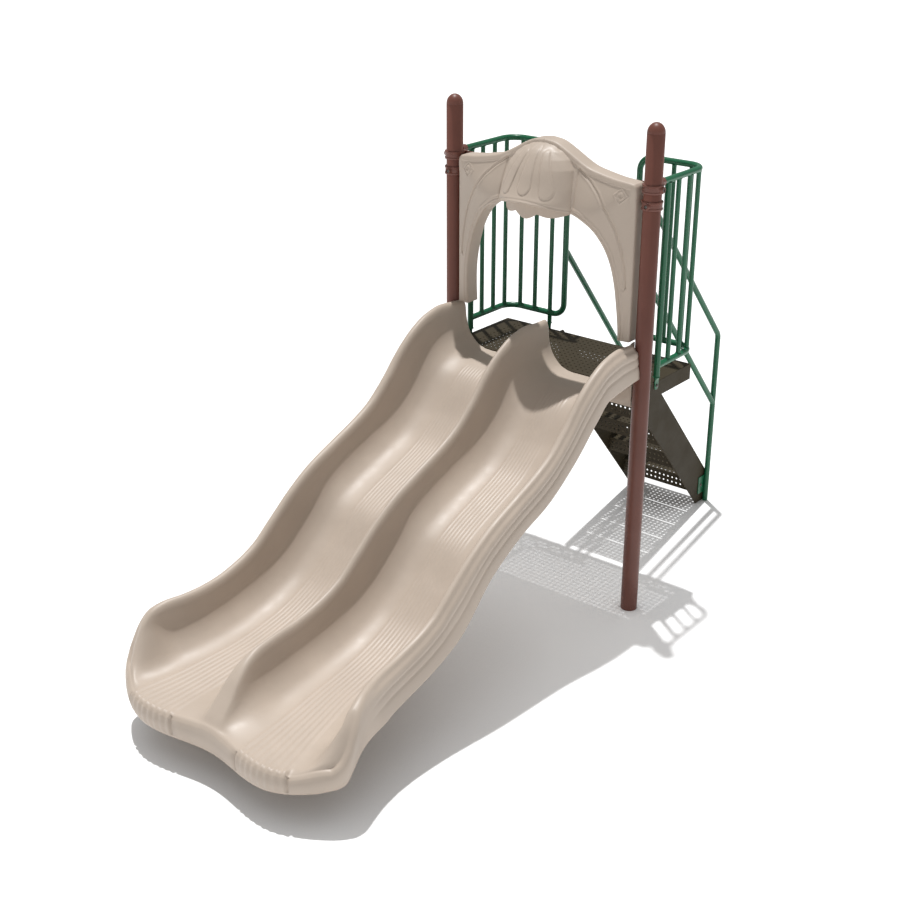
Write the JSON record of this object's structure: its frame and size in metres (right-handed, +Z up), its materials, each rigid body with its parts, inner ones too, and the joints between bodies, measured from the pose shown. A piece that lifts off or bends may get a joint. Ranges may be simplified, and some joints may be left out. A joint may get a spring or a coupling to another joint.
{
  "type": "double wave slide with platform",
  "caption": "Free-standing playground slide: posts, deck, stair with handrails, picket barriers, arch panel and a wavy moulded slide with side-by-side lanes.",
  "frame": {"origin": "ground level under the middle of the whole footprint, between the slide's exit and the foot of the stair", "axes": "+Z up, -Y towards the slide's exit, +Y towards the stair, +X to the right of a person facing +Y; the object is symmetric across X"},
  "size_m": [1.4116, 3.9841, 2.6173],
  "materials": {
    "steel_brown": "satin reddish-brown powder coat",
    "steel_green": "semi-gloss green powder coat",
    "steel_bronze": "dark bronze-brown plastic dip coat",
    "plastic_beige": "satin beige rotomoulded polyethylene",
    "bolt_steel": "dull plated steel"
  },
  "bodies": {
    "root": {"arch_panel": "plastic_beige", "barrier_foot_bolt_left": "bolt_steel", "barrier_foot_bolt_right": "bolt_steel", "barrier_foot_left": "steel_green", "barrier_foot_right": "steel_green", "barrier_frame_left": "steel_green", "barrier_frame_right": "steel_green", "barrier_front_tube_left": "steel_green", "barrier_front_tube_right": "steel_green", "barrier_rear_picket_left_1": "steel_green", "barrier_rear_picket_left_2": "steel_green", "barrier_rear_picket_left_3": "steel_green", "barrier_rear_picket_right_1": "steel_green", "barrier_rear_picket_right_2": "steel_green", "barrier_rear_picket_right_3": "steel_green", "barrier_side_bolt_left": "bolt_steel", "barrier_side_bolt_right": "bolt_steel", "barrier_side_picket_left_1": "steel_green", "barrier_side_picket_left_2": "steel_green", "barrier_side_picket_left_3": "steel_green", "barrier_side_picket_right_1": "steel_green", "barrier_side_picket_right_2": "steel_green", "barrier_side_picket_right_3": "steel_green", "collar_bolt_lower_left": "bolt_steel", "collar_bolt_lower_right": "bolt_steel", "collar_bolt_upper_left": "bolt_steel", "collar_bolt_upper_right": "bolt_steel", "collar_lower_left_front": "steel_brown", "collar_lower_left_rear": "steel_brown", "collar_lower_right_front": "steel_brown", "collar_lower_right_rear": "steel_brown", "collar_upper_left_front": "steel_brown", "collar_upper_left_rear": "steel_brown", "collar_upper_right_front": "steel_brown", "collar_upper_right_rear": "steel_brown", "deck": "steel_bronze", "deck_bracket_left": "steel_bronze", "deck_bracket_right": "steel_bronze", "double_slide": "plastic_beige", "exit_leg_left": "steel_bronze", "exit_leg_right": "steel_bronze", "handrail_bolt_left": "bolt_steel", "handrail_bolt_right": "bolt_steel", "handrail_left": "steel_green", "handrail_lower_left": "steel_green", "handrail_lower_right": "steel_green", "handrail_right": "steel_green", "post_cap_left": "steel_brown", "post_cap_right": "steel_brown", "post_left": "steel_brown", "post_right": "steel_brown", "stringer_left": "steel_bronze", "stringer_right": "steel_bronze", "tread_1": "steel_bronze", "tread_2": "steel_bronze", "tread_3": "steel_bronze", "tread_4": "steel_bronze", "tread_5": "steel_bronze"}
  },
  "joints": []
}
